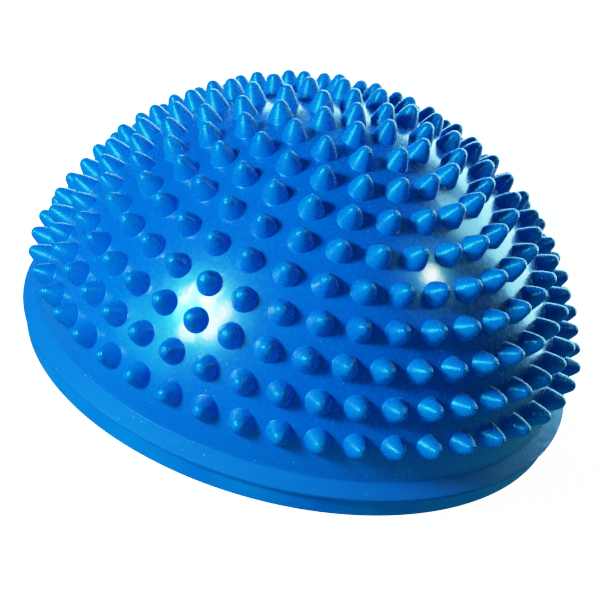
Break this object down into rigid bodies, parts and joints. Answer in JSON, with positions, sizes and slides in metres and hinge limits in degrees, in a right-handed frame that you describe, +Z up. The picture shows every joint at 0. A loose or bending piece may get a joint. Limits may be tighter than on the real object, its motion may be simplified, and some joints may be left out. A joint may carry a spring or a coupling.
{
  "type": "balance dome trainer",
  "caption": "Hollow half-ball balance pod covered in rings of blunt massage spikes, closed by a flat round base with a central inflation valve and a pull-out plug.",
  "frame": {"origin": "centre of the flat face it stands on, on the dome's axis", "axes": "+Z up along the dome's axis, from the standing face to the crown spike; -Y is the front, which the first spike of each ring is counted from"},
  "size_m": [0.1668, 0.167, 0.085],
  "materials": {
    "skin": "glossy moulded PVC, fine orange peel",
    "spikes": "satin moulded PVC with fine turning rings",
    "base": "satin moulded PVC",
    "valve": "matte moulded plastic",
    "core": "matt rubber",
    "plug": "matte moulded plastic"
  },
  "bodies": {
    "pod": {"dome_shell": "skin", "spike_crown": "spikes", "spike_ring_01": "spikes", "spike_ring_02": "spikes", "spike_ring_03": "spikes", "spike_ring_04": "spikes", "spike_ring_05": "spikes", "spike_ring_06": "spikes", "spike_ring_07": "spikes", "spike_ring_08": "spikes", "spike_ring_09": "spikes", "spike_ring_10": "spikes", "base_pad": "base", "valve_seat": "valve", "valve_core": "core"},
    "plug": {"valve_plug": "plug"}
  },
  "joints": [
    {"name": "plug_pull", "type": "slide", "parent": "pod", "child": "plug", "axis": [0, 0, -1], "range_m": [0, 0.011]}
  ]
}
